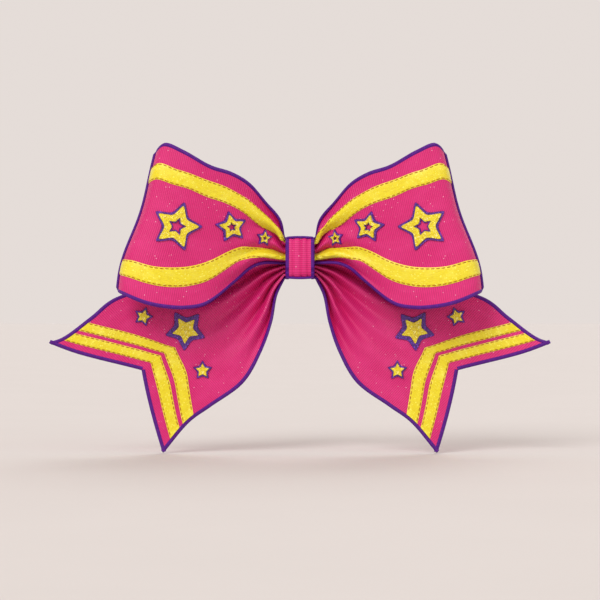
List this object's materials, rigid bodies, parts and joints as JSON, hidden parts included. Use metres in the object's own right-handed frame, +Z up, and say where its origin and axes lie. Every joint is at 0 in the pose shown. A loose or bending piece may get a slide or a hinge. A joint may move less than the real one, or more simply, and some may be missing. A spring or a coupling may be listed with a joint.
{
  "type": "cheer hair bow",
  "caption": "Large stand-up hair bow of wide stiff ribbon with swallow-tailed tails, striped and starred, cinched in a knot on a hinged French barrette.",
  "frame": {"origin": "centre of the channel between tension bar and closed arm, where the hair is gripped", "axes": "+Z up as worn, -Y the way the bow's face looks, +Y towards the wearer's head, +X to the right seen from the front"},
  "size_m": [0.2426, 0.0485, 0.1484],
  "materials": {
    "pink_ribbon": "stiff glossy satin-faced grosgrain, hot pink, fine ribs across the width",
    "yellow_ribbon": "narrow yellow satin ribbon sewn on, darker stitched edges",
    "yellow_star": "yellow glitter-faced fabric appliqué",
    "purple_trim": "purple satin-stitched edging and star backing",
    "purple_felt": "matt wool felt",
    "white_nylon": "moulded natural nylon",
    "nickel_steel": "nickel-plated sprung steel, satin bright"
  },
  "bodies": {
    "barrette": {"barrette_base": "nickel_steel", "hinge_bracket": "nickel_steel", "hinge_pin": "nickel_steel", "rivet_hinge_end": "nickel_steel", "rivet_catch_end": "nickel_steel", "catch_base": "nickel_steel", "felt_backing": "purple_felt", "pleated_center": "pink_ribbon", "zip_tie": "white_nylon", "center_wrap": "pink_ribbon", "knot_edging_left": "purple_trim", "knot_edging_right": "purple_trim"},
    "arm": {"barrette_arm": "nickel_steel"},
    "tension_bar": {"tension_bar": "nickel_steel"},
    "wing_upper": {"catch_wing_upper": "nickel_steel"},
    "wing_lower": {"catch_wing_lower": "nickel_steel"},
    "loop_left": {"loop_left": "pink_ribbon", "loop_left_stripe_upper": "yellow_ribbon", "loop_left_stripe_lower": "yellow_ribbon", "loop_left_edging_upper": "purple_trim", "loop_left_edging_lower": "purple_trim", "loop_left_star_large": "yellow_star", "loop_left_star_large_backing": "purple_trim", "loop_left_star_medium": "yellow_star", "loop_left_star_medium_backing": "purple_trim", "loop_left_star_small": "yellow_star", "loop_left_star_small_backing": "purple_trim"},
    "tail_left": {"tail_left": "pink_ribbon", "tail_left_chevron_outer": "yellow_ribbon", "tail_left_chevron_inner": "yellow_ribbon", "tail_left_edging": "purple_trim", "tail_left_star_large": "yellow_star", "tail_left_star_large_backing": "purple_trim", "tail_left_star_outer": "yellow_star", "tail_left_star_outer_backing": "purple_trim", "tail_left_star_lower": "yellow_star", "tail_left_star_lower_backing": "purple_trim"},
    "loop_right": {"loop_right": "pink_ribbon", "loop_right_stripe_upper": "yellow_ribbon", "loop_right_stripe_lower": "yellow_ribbon", "loop_right_edging_upper": "purple_trim", "loop_right_edging_lower": "purple_trim", "loop_right_star_large": "yellow_star", "loop_right_star_large_backing": "purple_trim", "loop_right_star_medium": "yellow_star", "loop_right_star_medium_backing": "purple_trim", "loop_right_star_small": "yellow_star", "loop_right_star_small_backing": "purple_trim"},
    "tail_right": {"tail_right": "pink_ribbon", "tail_right_chevron_outer": "yellow_ribbon", "tail_right_chevron_inner": "yellow_ribbon", "tail_right_edging": "purple_trim", "tail_right_star_large": "yellow_star", "tail_right_star_large_backing": "purple_trim", "tail_right_star_outer": "yellow_star", "tail_right_star_outer_backing": "purple_trim", "tail_right_star_lower": "yellow_star", "tail_right_star_lower_backing": "purple_trim"}
  },
  "joints": [
    {"name": "barrette_arm_hinge", "type": "hinge", "parent": "barrette", "child": "arm", "pos_m": [-0.0375, -0.0008, 0], "axis": [0, 0, 1], "range_deg": [0, 85]},
    {"name": "tension_bar_flex", "type": "slide", "parent": "barrette", "child": "tension_bar", "axis": [0, -1, 0], "range_m": [0, 0.0008], "stiffness_N_per_m": 300},
    {"name": "catch_wing_upper_pinch", "type": "hinge", "parent": "barrette", "child": "wing_upper", "pos_m": [0.0367, -0.0027, 0.00155], "axis": [-1, 0, 0], "range_deg": [0, 8], "stiffness_Nm_per_rad": 0.01},
    {"name": "catch_wing_lower_pinch", "type": "hinge", "parent": "barrette", "child": "wing_lower", "pos_m": [0.0367, -0.0027, -0.00155], "axis": [1, 0, 0], "range_deg": [0, 8], "stiffness_Nm_per_rad": 0.01},
    {"name": "loop_left_flex", "type": "hinge", "parent": "barrette", "child": "loop_left", "pos_m": [-0.008, -0.0155, 0.003], "axis": [0, 0, 1], "range_deg": [0, 12], "stiffness_Nm_per_rad": 0.02},
    {"name": "tail_left_swing", "type": "hinge", "parent": "barrette", "child": "tail_left", "pos_m": [-0.008, -0.0112, -0.0045], "axis": [1, 0, 0], "range_deg": [-4, 25], "stiffness_Nm_per_rad": 0.004},
    {"name": "loop_right_flex", "type": "hinge", "parent": "barrette", "child": "loop_right", "pos_m": [0.008, -0.0155, 0.003], "axis": [0, 0, -1], "range_deg": [0, 12], "stiffness_Nm_per_rad": 0.02},
    {"name": "tail_right_swing", "type": "hinge", "parent": "barrette", "child": "tail_right", "pos_m": [0.008, -0.0112, -0.0045], "axis": [1, 0, 0], "range_deg": [-4, 25], "stiffness_Nm_per_rad": 0.004}
  ],
  "couplings": [
    {"joint": "catch_wing_lower_pinch", "follows": "catch_wing_upper_pinch", "ratio": 1}
  ]
}
